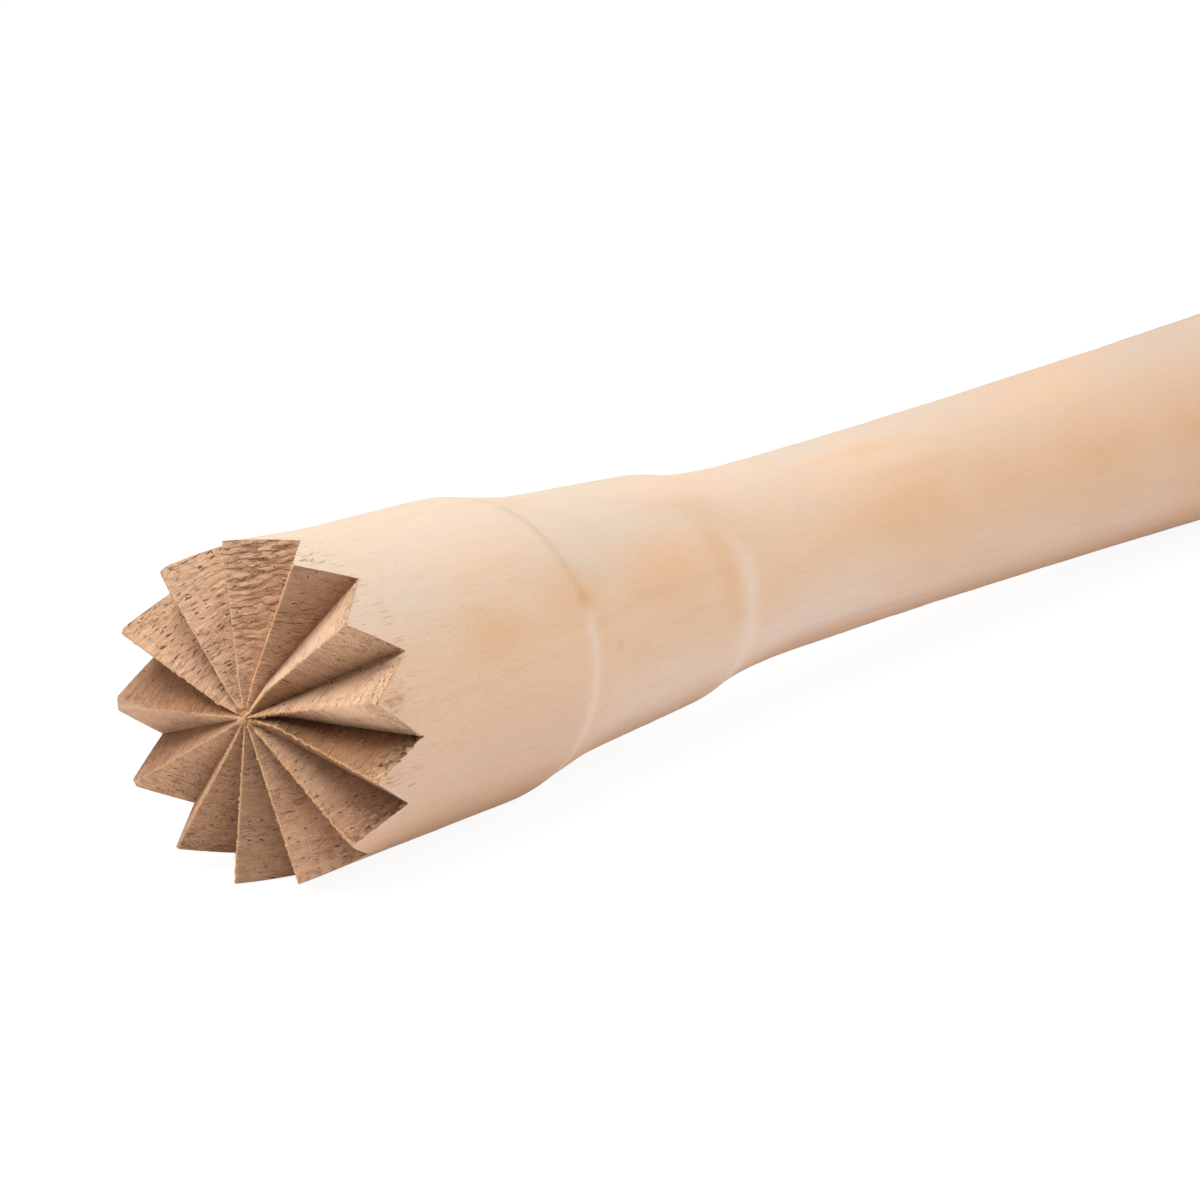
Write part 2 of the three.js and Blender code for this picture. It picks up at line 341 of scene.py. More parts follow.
# Soft steps: from and to, with what they give at each if it isn't 0 and 1
STEPS = {
    "sheen_top_back": (25, 70), "upper": (5, 16), "bounce_low_back": (38, 52), "lower": (2, -8),
    "grip": (90, 185, 0, 0.4), "butt": (SWELL_END + 2, HANDLE_BACK - 0.2),
    "underside": (-0.45, -0.8, 0, 0.75), "growth_ring": (0.48, 0.68),
    "ring_on_butt": (0, 1, 0.13, 0.6), "streak": (0.52, 0.8, 0, 0.4),
    "orange_shade_and_patch": (0.2, 0.65, 0.5, 1), "shoulder_shade": (0.3, 0.6, 0.08, 0.26),
    "near_teeth": (45, 5, 0.5, 1), "side_fibre": (0.5, 0.8, 0, 0.42),
    "dust": (0.5, 0.8, 0, 0.36), "vessel_on_butt": (0, 1, 0.17, 0.6),
    "beside_teeth": (11, 5, 0, 0.38), "side_roughness": (0.3, 0.7, 0.66, 0.76),
    "dark_band": (0.3, 0.7), "patch": (0.5, 0.75, 0, 0.5), "dark_fibre": (0.5, 0.75, 0, 0.45),
    "pale_fibre": (0.5, 0.3, 0, 0.35), "dark_speck": (0.52, 0.75, 0, 0.7),
    "pale_speck": (0.48, 0.28, 0, 0.4), "relief_shade": (0.1, 1, 0, 0.45),
    "hump": (-0.1, -0.9, 0, 0.35), "shaded_flank": (1.03, 0.83), "pale_flank": (1.1, 1.8, 0, 0.6),
    "scaly": (0.1, 0.3), "scaly_band": (0.25, 0.5, 0.35, 1), "scaly_outward": (3, 12, 0.2, 1),
    "scale_shadow": (0.7, 0.96), "scale_edge": (0.25, 0.02, 0, 0.35), "scale_height": (0.97, 0),
    "crack": (0.022, 0), "crack_patch": (0.4, 0.55, 0, 0.5),
    "pore_rarity": (0.05, 0.13, 0.88, 0.5), "pore_size": (0.05, 0.13, 0.25, 0.3),
    "open_grain": (1.75, 1.45, 0.1, 1), "lip": (0, 1, 0, 0.5), "fray": (0.33, 0.55),
    "split": (0.025, 0), "split_rim": (0.1, 0.5), "fuzz": (0.3, 0.58, 0.2, 1),
    "dowel": (0.35, 0.7), "dowel_roughness": (0.3, 0.7, 0.6, 0.75),
    "backdrop": (0.3, 0.8),
}

# Spindles: dimensions, cycles per millimetre, and rarity and largest size unless the wood's tearing sets them
VESSELS = ("3D", (0.35, 1.3, 1.3), 0.8, 0.14)
TEARS = ("3D", (0.3, 3.6, 3.6), 0.3, 0.4)
DOTS = ("2D", (1.5, 2.2, 1), 0.89, 0.26)
# Offset of each pore's lip, where a highlight is painted
PORES = ("2D", (0.7, 2.8, 1))
PORE_LIT_LIP = (0.0, 0.13, 0.0)
PORES_UNDER_SCALES = 0.7

# Smallest size and soft edge of the spindles, by the dimensions of their pattern
SPINDLE_EDGES = {"3D": (0.0, 0.08), "2D": (0.05, 0.06)}

# Bump of each pattern, in millimetres, below zero where it is a pit
BUMP = {
    "side_fibre": 0.02, "dust": 0.016, "vessel": -0.08, "tear": -0.05, "speck": 0.1, "fibre": 0.1,
    "torn": 0.8, "scale": 0.2, "lip": 0.05, "pore": -0.18, "crack": -0.12, "dowel": 0.05,
}
CUT_ROUGHNESS = 0.85
TURNED_SPECULAR = 0.07
DOWEL_SPECULAR = 0.5

# The floor, with its sizes in metres, and the backdrop
FLOOR_HALF_WIDTH = 3.0
FLOOR_HEIGHT = -0.0003
FLOOR_GREY = 0.85
SHADOW_GREY = 0.15
FLOOR_GLOW = 0.92
BACKDROP_GLOW = 1.0
BACKDROP_LIGHT = 0.0
WHITE = (1, 1, 1, 1)

# Softboxes: name, azimuth and elevation seen from the tool, and power in watts
SOFTBOX_SIDE = 0.5
SOFTBOX_DISTANCE = 0.8
SOFTBOXES = (
    ("left_top_softbox", -90, 68, 4.9),
    ("right_softbox", 45, 18, 2.5),
    ("left_back_softbox", -135, 42, 2.3),
    ("back_softbox", 135, 42, 2.3),
    ("front_top_softbox", -45, 68, 1.3),
    ("front_softbox", 0, 42, 0.5),
)

# Camera, from the photograph's own frame
IMAGE_SIDE = 1200
SENSOR_WIDTH = 36.0
FOCAL_PIXELS = 5763.5
CAMERA_AZIMUTH = -54.407
CAMERA_ELEVATION = 14.38
CAMERA_DISTANCE = 600 * MM
CAMERA_CLIP_START = 0.01
TIP_CENTRE_PIXEL = (247.11, 719.38)


def smoothstep(low, high, value):
    share = np.clip((np.asarray(value, float) - low) / (high - low), 0, 1)
    return share * share * (3 - 2 * share)


def grain(points, layers):
    total = 0
    for size, stretch, offset in layers:
        places = np.asarray(points, float) * stretch + offset
        total = total + size * np.array([noise.noise(place) for place in places.tolist()])
    return total


# The turned form

def fall(station, start, length, power, step):
    """Share of a shoulder's fall at each station: a soft fall with a narrow step."""
    share = np.clip((station - start) / length, 0, 1)
    soft = smoothstep(0, 1, share ** power)
    narrow = smoothstep(step - STEP_LENGTH / 2, step + STEP_LENGTH / 2, station)
    return (1 - STEP_SHARE) * soft + STEP_SHARE * narrow


def turned_radius(station):
    """Outer radius of the tool at each station, before the butt's round edge."""
    station = np.asarray(station, float)
    barrel_slope = (HEAD_BACK_RADIUS - HEAD_TIP_RADIUS) / HEAD_BARREL_LENGTH
    barrel = HEAD_TIP_RADIUS + barrel_slope * np.maximum(station, 0)
    taper_slope = (TAPER_BACK_RADIUS - TAPER_FRONT_RADIUS) / COLLAR_TAPER_LENGTH
    taper = TAPER_FRONT_RADIUS + taper_slope * (station - COLLAR_FRONT)
    swell_share = np.clip((station - HANDLE_WAIST) / (SWELL_END - HANDLE_WAIST), 0, 1)
    swell = (HANDLE_BUTT_RADIUS - HANDLE_WAIST_RADIUS) * swell_share ** HANDLE_SWELL_POWER
    handle = HANDLE_WAIST_RADIUS + swell
    radius = barrel + (taper - barrel) * fall(station, *HEAD_FALL)
    return radius + (handle - radius) * fall(station, *COLLAR_FALL)


def barrel_radius(station, angle):
    """Radius of the head, which flares at its toothed end."""
    flare = TIP_FLARE * (1 + np.cos(angle - TIP_FLARE_SIDE))
    flare = flare + TOP_FLARE * np.maximum(np.sin(angle), 0) ** TOP_FLARE_POWER
    near_tip = np.clip(1 - np.maximum(station, 0) / TIP_FLARE_LENGTH, 0, 1) ** 2
    return turned_radius(station) + flare * near_tip


# Meshes

def tool_matrix():
    """Places tool coordinates in the frame, from the butt's mount."""
    mount = next(m for m in frame["record"]["mounts"] if m["name"] == "butt_face")
    along = Vector(mount["axis"]).normalized()
    across = Vector((0, 1, 0))
    up = along.cross(across)
    origin = Vector(mount["pos_m"]) - along * HANDLE_BACK * MM
    turn = Matrix((along, across, up)).transposed().to_4x4()
    return Matrix.Translation(origin) @ turn


def add_object(name, data):
    made = bpy.data.objects.new(name, data)
    bpy.context.scene.collection.objects.link(made)
    return made


def add_piece(mesh):
    """A new object in tool coordinates, named after its mesh."""
    piece = add_object(mesh.name, mesh)
    piece.matrix_world = tool_matrix()
    return piece


def ring_quads(row_count, columns, closed_loop):
    rows = np.arange(row_count if closed_loop else row_count - 1)
    row, column = np.meshgrid(rows, np.arange(columns), indexing="ij")
    after_row = (row + 1) % row_count
    after_column = (column + 1) % columns
    corners = (row * columns + column, row * columns + after_column,
               after_row * columns + after_column, after_row * columns + column)
    return np.stack([corner.ravel() for corner in corners], axis=1)


def cap_triangles(centre, first, columns, at_end):
    ring = first + np.arange(columns)
    after = np.roll(ring, -1)
    middle = np.full(columns, centre)
    return np.stack((middle, ring, after) if at_end else (middle, after, ring), axis=1)


def map_point(zone, share, turn):
    """Place on the texture map, from the share of a zone and the turn."""
    kind, spot, low, high = zone
    along = low + (high - low) * share
    if kind == "disc":
        return np.stack([spot[0] + along * np.cos(turn), spot[1] + along * np.sin(turn)], axis=-1)
    return np.stack([spot[0] + spot[1] * turn / FULL_TURN, along + 0 * turn], axis=-1)


def ring_map(rows, zones, caps):
    """Texture map of a ring grid. zones are (row count, zone) pairs."""
    columns = rows.shape[1]
    turn = np.arange(columns + 1) * FULL_TURN / columns
    steps = np.linalg.norm(np.diff(rows.mean(axis=1), axis=0), axis=1)
    steps = np.maximum(steps, np.linalg.norm(np.diff(rows[:, 0], axis=0), axis=1))
    places = []
    first = 0
    for count, zone in zones:
        way = np.append(0, np.cumsum(steps[first:first + count]))
        share = way / way[-1]
        for row in range(count):
            low = map_point(zone, share[row], turn)
            high = map_point(zone, share[row + 1], turn)
            places.append(np.stack([low[:-1], low[1:], high[1:], high[:-1]], axis=1))
        first += count
    corners = [np.concatenate(places).reshape(-1, 2)]
    for zone, share, at_end in caps:
        rim = map_point(zone, share, turn)
        middle = np.repeat(np.array([zone[1]]), columns, axis=0)
        order = (middle, rim[:-1], rim[1:]) if at_end else (middle, rim[1:], rim[:-1])
        corners.append(np.stack(order, axis=1).reshape(-1, 2))
    return np.concatenate(corners)


def ring_piece(name, rows, zones, start=None, end=None, closed_loop=False, marks=None):
    """A piece made of rings. start and end are the points on the axis that close it."""
    row_count, columns = rows.shape[:2]
    vertices = rows.reshape(-1, 3)
    faces = ring_quads(row_count, columns, closed_loop).tolist()
    caps = []
    for point, row, zone, at_end in ((start, 0, zones[0], False), (end, row_count - 1, zones[-1], True)):
        if point is not None:
            faces += cap_triangles(len(vertices), row * columns, columns, at_end).tolist()
            vertices = np.vstack([vertices, point])
            caps.append((zone[1], float(at_end), at_end))
    mesh = bpy.data.meshes.new(name)
    mesh.from_pydata((vertices * MM).tolist(), [], faces)
    # Marks of painted light and shade on the turned surface: orange shade, shoulder highlights and shoulder
    # shade
    shared = {"orange_shade_and_patch": orange_shade_and_patch_spots, "shoulder_highlight": shoulder_highlights, "shoulder_shade": shoulder_shade_line}
    shared = {mark: shown(vertices) for mark, shown in shared.items()}
    for mark, values in {**shared, **(marks or {})}.items():
        store_values(mesh, mark, "FLOAT", "POINT", values)
    loop = np.concatenate([rows, rows[:1]]) if closed_loop else rows
    places = ring_map(loop, zones, caps).astype(np.float32)
    mesh.uv_layers.new(name=BAKE_MAP).uv.foreach_set("vector", places.ravel())
    mesh.shade_smooth()
    mesh.set_sharp_from_angle(angle=math.radians(SHARP_DEGREES))
    return add_piece(mesh)


def store_values(mesh, name, kind, domain, values):
    """Stores values on the first points or face corners of a mesh, and zeros on the others."""
    data = mesh.attributes.new(name, kind, domain).data
    size, key = (3, "vector") if kind == "FLOAT_VECTOR" else (1, "value")
    padded = np.zeros(len(data) * size, np.float32)
    padded[:values.size] = values.ravel()
    data.foreach_set(key, padded)


# Painted shade: how strongly the orange spots show at each point, mostly along the shaded band
def orange_shade_and_patch_spots(points):
    angle = np.arctan2(points[:, 2], points[:, 1])
    radius = np.hypot(points[:, 1], points[:, 2])
    shown = np.zeros(len(points))
    for station, degrees, strength, half_length, half_width in ORANGE_SHADE_AND_PATCH_SPOTS:
        turn = (angle - math.radians(degrees) + math.pi) % FULL_TURN - math.pi
        distance = ((points[:, 0] - station) / half_length) ** 2 + (turn * radius / half_width) ** 2
        shown = np.maximum(shown, strength * np.exp(-distance))
    return shown


# Painted highlight: how strongly the pale shoulder lines show at each point
def shoulder_highlights(points):
    x, _, z = points.T
    shown = np.zeros(len(points))
    for station, half_width in SHOULDER_HIGHLIGHT_LINES:
        shown = shown + np.exp(-((x - station) / half_width) ** 2)
    return shown * smoothstep(*SHOULDER_HIGHLIGHT_HEIGHTS, z)


# Painted shade: how strongly the darker line on the first shoulder shows at each point
def shoulder_shade_line(points):
    x, _, z = points.T
    return np.exp(-((x - SHOULDER_SHADE_STATION) / SHOULDER_SHADE_HALF_WIDTH) ** 2) * smoothstep(*SHOULDER_SHADE_HEIGHTS, z)


def stations(start, end):
    return np.linspace(start, end, max(2, round((end - start) / ROW_LENGTH) + 1))


def turned_rows(station, radius, angle):
    station = np.asarray(station, float).reshape(len(station), -1)
    radius = np.asarray(radius, float).reshape(len(radius), -1)
    x = station + 0 * angle
    return np.stack([x, radius * np.cos(angle), radius * np.sin(angle)], axis=2)


def even_angles():
    return np.arange(LATHE_COLUMNS) * FULL_TURN / LATHE_COLUMNS


def lathe_unevenness(rows):
    """Presses a turned surface in and out, as gouge and sandpaper leave it."""
    points = rows.reshape(-1, 3)
    push = grain(points, GOUGE_LAYERS)
    radius = np.linalg.norm(points[:, 1:], axis=1, keepdims=True)
    points[:, 1:] *= 1 + push[:, None] / radius
    return points.reshape(rows.shape)


def tapered_collar():
    angle = even_angles()
    along = stations(HEAD_SEAM, HANDLE_SEAM)
    outer = lathe_unevenness(turned_rows(along, turned_radius(along), angle))
    bore = turned_rows((HANDLE_SEAM, HEAD_SEAM), (BORE_RADIUS, BORE_RADIUS), angle)
    rows = np.concatenate([outer, bore])
    zones = ((len(outer) - 1, MAP_SIDE), (1, MAP_FRONT), (1, MAP_STRIP), (1, MAP_BACK))
    return ring_piece("tapered_collar", rows, zones, closed_loop=True)


def swelling_handle():
    angle = even_angles()
    bore_end = HANDLE_FRONT + BORE_DEPTH
    bore = turned_rows((bore_end, HANDLE_SEAM), (BORE_RADIUS, BORE_RADIUS), angle)
    along = stations(HANDLE_SEAM, SWELL_END)
    radius = turned_radius(along)
    turn = np.linspace(0, np.pi / 2, BUTT_EDGE_ROWS + 1)[1:]
    edge_along = SWELL_END + BUTT_EDGE_RADIUS * np.sin(turn)
    edge_radius = HANDLE_BUTT_RADIUS - BUTT_EDGE_RADIUS * (1 - np.cos(turn))
    grip = turned_rows(np.append(along, edge_along), np.append(radius, edge_radius), angle)
    flat_radius = np.linspace(edge_radius[-1], 0, BUTT_FLAT_ROWS + 1)[1:-1]
    flat = turned_rows(np.full(len(flat_radius), HANDLE_BACK), flat_radius, angle)
    rows = np.concatenate([bore, lathe_unevenness(grip), flat])
    zones = ((2, MAP_FRONT), (len(grip) - 1, MAP_SIDE), (len(flat), MAP_BACK))
    start = (bore_end, 0, 0)
    end = (HANDLE_BACK, 0, 0)
    return ring_piece("swelling_handle", rows, zones, start=start, end=end)


# Toothed head

def flank_columns():
    """Groove, flank and step from the crest of each column of the cut face."""
    columns = []
    for groove in range(TOOTH_COUNT):
        columns += [(groove, 0, step) for step in range(FLANK_COLUMNS)]
        columns += [(groove, 1, step) for step in range(FLANK_COLUMNS, 0, -1)]
    return np.array(columns).T


def groove_angles():
    """Angle of each valley, and of the crests before and after it."""
    index = np.arange(TOOTH_COUNT)
    first = math.radians(FIRST_RIDGE_DEGREES)
    before = first + index * PITCH + np.radians(CREST_DRIFT_DEGREES)
    valley = first + (index + 0.5) * PITCH + np.radians(VALLEY_DRIFT_DEGREES)
    after = np.append(before[1:], before[0] + FULL_TURN)
    return valley, before, after


def flank_crests(columns):
    """Each column's flank number, the number of its crest and that crest's angle."""
    groove, side, _ = columns
    _, before, after = groove_angles()
    crest = np.where(side == 0, before[groove], after[groove])
    return 2 * groove + side, (groove + side) % TOOTH_COUNT, crest


def crest_offset(step, half_width):
    """Distance of a column from its crest: close together at the crest, even beyond it."""
    near = np.array(CREST_STEPS)
    last = len(near) - 1
    even = half_width * step / FLANK_COLUMNS
    beyond = near[last] + (half_width - near[last]) * (step - last) / (FLANK_COLUMNS - last)
    chosen = np.where(step <= last, near[np.minimum(step, last)], beyond)
    return np.where(half_width > near[last] * FLANK_COLUMNS / last, chosen, even)


def flank_surface(reach, columns):
    """Angle, depth, crest distance and valley distance of the clean grooves."""
    groove, side, step = columns
    valley, _, _ = groove_angles()
    _, crest_index, crest = flank_crests(columns)
    aside = 1 / np.maximum(reach, SHIFT_NEAREST)
    crest = crest + np.array(CREST_SHIFT)[crest_index] * aside
    lowest = valley[groove] + np.array(VALLEY_SHIFT)[groove] * aside
    half_angle = np.abs(lowest - crest)
    offset = crest_offset(step, reach * half_angle)
    sign = np.where(side == 0, 1, -1)
    angle = crest + sign * offset / reach
    from_valley = angle - lowest
    start = CREST_LAND / 2 / math.sin(PITCH / 2)
    slope = (GROOVE_DEPTH_AT_RIM + TIP_ADVANCE) / (HEAD_TIP_RADIUS - start)
    depth = slope * (reach * np.cos(from_valley) - start)
    depth -= slope / np.tan(half_angle) * reach * np.abs(np.sin(from_valley))
    return angle, np.maximum(depth, 0), offset, reach * half_angle - offset


def face_points(angle, depth, reach):
    y = reach * np.cos(angle)
    z = reach * np.sin(angle) + GROOVE_CENTRE_RISE
    return np.stack([depth - TIP_ADVANCE, y, z], axis=-1)


def rim_reach(columns):
    """Distance from the groove centre at which each column meets the turned barrel."""
    reach = np.full(columns.shape[1], HEAD_TIP_RADIUS)
    for _ in range(RIM_TRIES):
        angle, depth, _, _ = flank_surface(reach, columns)
        x, y, z = face_points(angle, depth, reach).T
        reach = reach * barrel_radius(x, np.arctan2(z, y)) / np.hypot(y, z)
    return reach


def flank_place(points, crest_angle, flank):
    """Coordinates on a flank: down it along the fibres, outwards along its crest, and apart by flank."""
    outward = np.stack([0 * crest_angle, np.cos(crest_angle), np.sin(crest_angle)], axis=-1)
    from_centre = points + np.array((TIP_ADVANCE, 0, -GROOVE_CENTRE_RISE))
    along = (from_centre * outward).sum(axis=-1)
    down = np.linalg.norm(from_centre - along[..., None] * outward, axis=-1)
    return np.stack([down, along, flank * FLANK_SPACING + 0 * along], axis=-1)


def cut_face(columns):
    """Rings of the toothed end: clean points, worn and torn points, and the marks for the material."""
    groove, side, _ = columns
    flank, crest_index, crest_angle = flank_crests(columns)
    sideways = np.stack([0 * crest_angle, -np.sin(crest_angle), np.cos(crest_angle)], axis=1)
    relief = np.array(TORN_RELIEF)[groove, side]
    chips = np.array([RIM_CHIPS.get(key, 0.0) for key in zip(groove, side)])
    rim_pale_and_light = np.array([RIM_PALENESS_AND_LIGHT.get(key, 0.0) for key in zip(groove, side)])
    ragged = np.array(CREST_RAGGED)[crest_index]
    fading = np.array(CREST_FADING)[crest_index]
    wear_depth, wear_length, wear_pale = np.array(TIP_WEAR)[crest_index].T
    valley_shade = np.array(VALLEY_SHADE)[groove, side]
    rim = rim_reach(columns)
    clean, shaped = [], []
    marks = {"crest": [], "valley_shade": [], "worn": [], "relief_shade": [], "rim": []}
    for share in np.append(np.linspace(FIRST_ROW, LAST_ROW, FACE_ROWS - 1), 1.0):
        reach = share * rim
        angle, depth, offset, to_valley = flank_surface(reach, columns)
        points = face_points(angle, depth, reach)
        on_flank = flank_place(points, crest_angle, flank)
        to_rim = rim - reach
        at_crest = np.exp(-(offset / CREST_WIDTH) ** 2)
        away = smoothstep(*CALM_CENTRE, reach)

        # Torn grain: long ripples along the fibres, broken by shorter ones
        ripple = grain(on_flank, RIPPLE_LAYERS)
        calm = smoothstep(*CALM_VALLEY, to_valley) * smoothstep(*CALM_CREST, offset) * away
        from_rim = TORN_AT_RIM + (1 - TORN_AT_RIM) * smoothstep(*CALM_RIM, to_rim)
        push = relief * ripple * calm * smoothstep(*TORN_FROM_CENTRE, reach) * from_rim

        # Chips broken out of the rim where the cutter left the wood
        broken = smoothstep(*CHIP_SHARE, grain(on_flank, CHIP_LAYERS))
        push = push + chips * broken * smoothstep(*CHIP_FROM_RIM, to_rim)

        # Ragged crests that lose a little height and wander sideways
        swing = grain(on_flank * (0, 1, 0) + crest_index[:, None], RAGGED_LAYERS)
        chipped = np.maximum(ragged * (CREST_LOSS_SWING * swing + CREST_LOSS) - depth, 0) * away
        wander = np.exp(-(offset / WANDER_WIDTH) ** 2)
        wander = wander * smoothstep(*WANDER_FROM_CENTRE, reach) * smoothstep(*WANDER_FROM_RIM, to_rim)
        aside = WANDER_SWING * ragged * swing * wander

        # Worn outer tips, and the burr in the middle
        worn = np.maximum(wear_depth * np.clip(1 - to_rim / wear_length, 0, 1) - depth, 0)
        at_centre = np.exp(-(reach / BURR_RADIUS) ** 2)
        burr = at_centre * (grain(points, BURR_LAYERS) - BURR_RISE)
        moved = points + sideways * aside[:, None]
        moved[:, 0] += push + np.maximum(worn, chipped) + burr
        clean.append(points)
        shaped.append(moved)

        # Marks that the material follows
        line = np.maximum(at_crest * (1 - fading * smoothstep(*CREST_FADE, reach)), BURR_PALENESS * at_centre)
        marks["crest"].append(np.maximum(line, np.clip(chipped / CHIPPED_FULL, 0, CHIPPED_PALENESS)))
        # Painted shade along each valley
        marks["valley_shade"].append(valley_shade * np.exp(-to_valley / VALLEY_SHADE_WIDTH) * smoothstep(*VALLEY_SHADE_FROM_CENTRE, reach))
        marks["worn"].append(wear_pale * np.clip(worn / WORN_FULL, 0, 1))
        # Painted shade in the hollows and painted highlight on the humps follow this relief mark
        marks["relief_shade"].append(np.clip((push + burr) / RELIEF_SHADE_FULL, -1, 1))
        # Painted light, with the torn wood's paleness, where a flank runs out at the rim
        pale = rim_pale_and_light * smoothstep(*PALE_FROM_RIM, to_rim)
        marks["rim"].append(pale * smoothstep(*PALE_FROM_VALLEY, to_valley))
    return np.array(clean), np.array(shaped), {mark: np.array(values) for mark, values in marks.items()}


def barrel_rows(rim_points):
    """The turned barrel and shoulder, from the rim of the teeth back to the seam, and their angles."""
    angle = np.arctan2(rim_points[:, 2], rim_points[:, 1])
    rim = rim_points[:, 0]
    near = [rim + distance for distance in RIM_STEPS]
    shares = np.linspace(0, 1, BARREL_ROWS)[1:]
    barrel = [near[-1] + (HEAD_BARREL_LENGTH - near[-1]) * share for share in shares]
    behind = np.linspace(HEAD_BARREL_LENGTH, HEAD_SEAM, SHOULDER_ROWS)[1:]
    shoulder = [np.full(len(rim), x) for x in behind]
    station = np.array(near + barrel + shoulder)
    radius = barrel_radius(station, angle)
    return lathe_unevenness(turned_rows(station, radius, angle)), angle


def store_flank_marks(mesh, clean, columns):
    """Gives every corner of the cut face its place, its painted light and tone, and its torn relief on its
    face's flank.
    """
    groove, side, _ = columns
    flank, _, crest_angle = flank_crests(columns)
    after_column = np.roll(clean, -1, axis=1)
    corners = (clean[:-1], after_column[:-1], after_column[1:], clean[1:])
    places = np.stack([flank_place(corner, crest_angle, flank) for corner in corners], axis=2)
    inner, outer = np.array(FLANK_LIGHT_AND_TONE)[groove, side].T
    share = smoothstep(*LIGHT_AND_TONE_CHANGE, places[..., 1] / HEAD_TIP_RADIUS)
    lights_and_tones = inner[:, None] + (outer - inner)[:, None] * share
    torn = np.array(TORN_RELIEF)[groove, side][:, None] + 0 * share
    store_values(mesh, "flank", "FLOAT_VECTOR", "CORNER", places)
    store_values(mesh, "light_and_tone", "FLOAT", "CORNER", lights_and_tones)
    store_values(mesh, "torn", "FLOAT", "CORNER", torn)


def muddler_head():
    columns = flank_columns()
    clean, face, marks = cut_face(columns)
    barrel, angle = barrel_rows(face[-1])
    bore_end = HEAD_BACK - BORE_DEPTH
    inside = turned_rows((HEAD_SEAM, bore_end), (BORE_RADIUS, BORE_RADIUS), angle)
    rows = np.concatenate([face, barrel, inside])
    marks["cut"] = np.ones(face.shape[:2])
    zones = ((len(face) - 1, MAP_FRONT), (len(barrel), MAP_SIDE), (2, MAP_BACK))
    middle = face[0].mean(axis=0)
    piece = ring_piece("muddler_head", rows, zones, start=middle, end=(bore_end, 0, 0), marks=marks)
    store_flank_marks(piece.data, clean, columns)
    return piece


# Fibres and splinters, each given as its foot, its way, its length and its width

def spokes(angle):
    """Unit vectors outwards from the axis and aside about it."""
    return Vector((0, math.cos(angle), math.sin(angle))), Vector((0, -math.sin(angle), math.cos(angle)))


def either_way(draw, limit):
    return draw.uniform(-limit, limit)


def torn_slivers(draw, before):
    for crest, (count, nearest, farthest) in enumerate(FIBRES):
        for number in range(count + CENTRE_FIBRES):
            low, high = (nearest, farthest) if number < count else (CENTRE_NEAREST, nearest)
            reach = draw.uniform(low, high)
            outward, aside = spokes(before[crest] + CREST_SHIFT[crest] / max(reach, SHIFT_NEAREST))
            foot = outward * reach + Vector((FIBRE_SEAT - TIP_ADVANCE, 0, GROOVE_CENTRE_RISE))
            foot = foot + aside * either_way(draw, FIBRE_ASIDE)
            lean = math.radians(draw.uniform(*FIBRE_LEAN_DEGREES))
            turn = 1 if draw.random() < FIBRE_FORWARD else -1
            way = aside * turn * math.cos(lean) + ALONG * math.sin(lean)
            way = way + outward * either_way(draw, FIBRE_SLANT)
            yield foot, way, draw.uniform(*FIBRE_LENGTH), draw.uniform(*FIBRE_WIDTH)


def side_splinters(draw, before):
    for crest, count, half_angle, farthest in SPLINTERS:
        for _ in range(count):
            station = draw.uniform(SPLINTER_NEAREST, farthest)
            spread = math.radians(either_way(draw, min(half_angle, SPLINTER_SPREAD * station)))
            angle = before[crest] + CREST_SHIFT[crest] / HEAD_TIP_RADIUS + spread
            outward, aside = spokes(angle)
            foot = outward * float(barrel_radius(station, angle)) + Vector((station, 0, 0))
            lift = outward * draw.uniform(*SPLINTER_LIFT)
            way = ALONG + lift + aside * either_way(draw, SPLINTER_SLANT)
            yield foot, way, draw.uniform(*SPLINTER_LENGTH), draw.uniform(*SPLINTER_WIDTH)


def rim_slivers(draw):
    for groove, side, count in RIM_FIBRES:
        steps = draw.integers(1, FLANK_COLUMNS, count)
        columns = np.array([np.full(count, groove), np.full(count, side), steps])
        reach = rim_reach(columns)
        angles, depth, _, _ = flank_surface(reach, columns)
        for angle, point in zip(angles, face_points(angles, depth, reach)):
            outward, aside = spokes(angle)
            foot = Vector(point) - outward * RIM_FIBRE_SEAT
            lift = outward * draw.uniform(*RIM_FIBRE_LIFT)
            way = ALONG + lift + aside * either_way(draw, RIM_FIBRE_SLANT)
            yield foot, way, draw.uniform(*RIM_FIBRE_LENGTH), draw.uniform(*FIBRE_WIDTH)


def add_sliver(vertices, faces, foot, way, length, width):
    """Adds one closed pyramid with a triangular foot, set a little back into the wood."""
    way = way.normalized()
    across = way.cross(ALONG).normalized()
    over = way.cross(across)
    start = foot - way * width
    first = len(vertices)
    for corner in range(SLIVER_SIDES):
        turn = corner * FULL_TURN / SLIVER_SIDES
        vertices.append(start + (across * math.cos(turn) + over * math.sin(turn)) * width / 2)
    vertices.append(foot + way * length)
    faces.extend([(first, first + 2, first + 1), (first, first + 1, first + 3),
                  (first + 1, first + 2, first + 3), (first + 2, first, first + 3)])


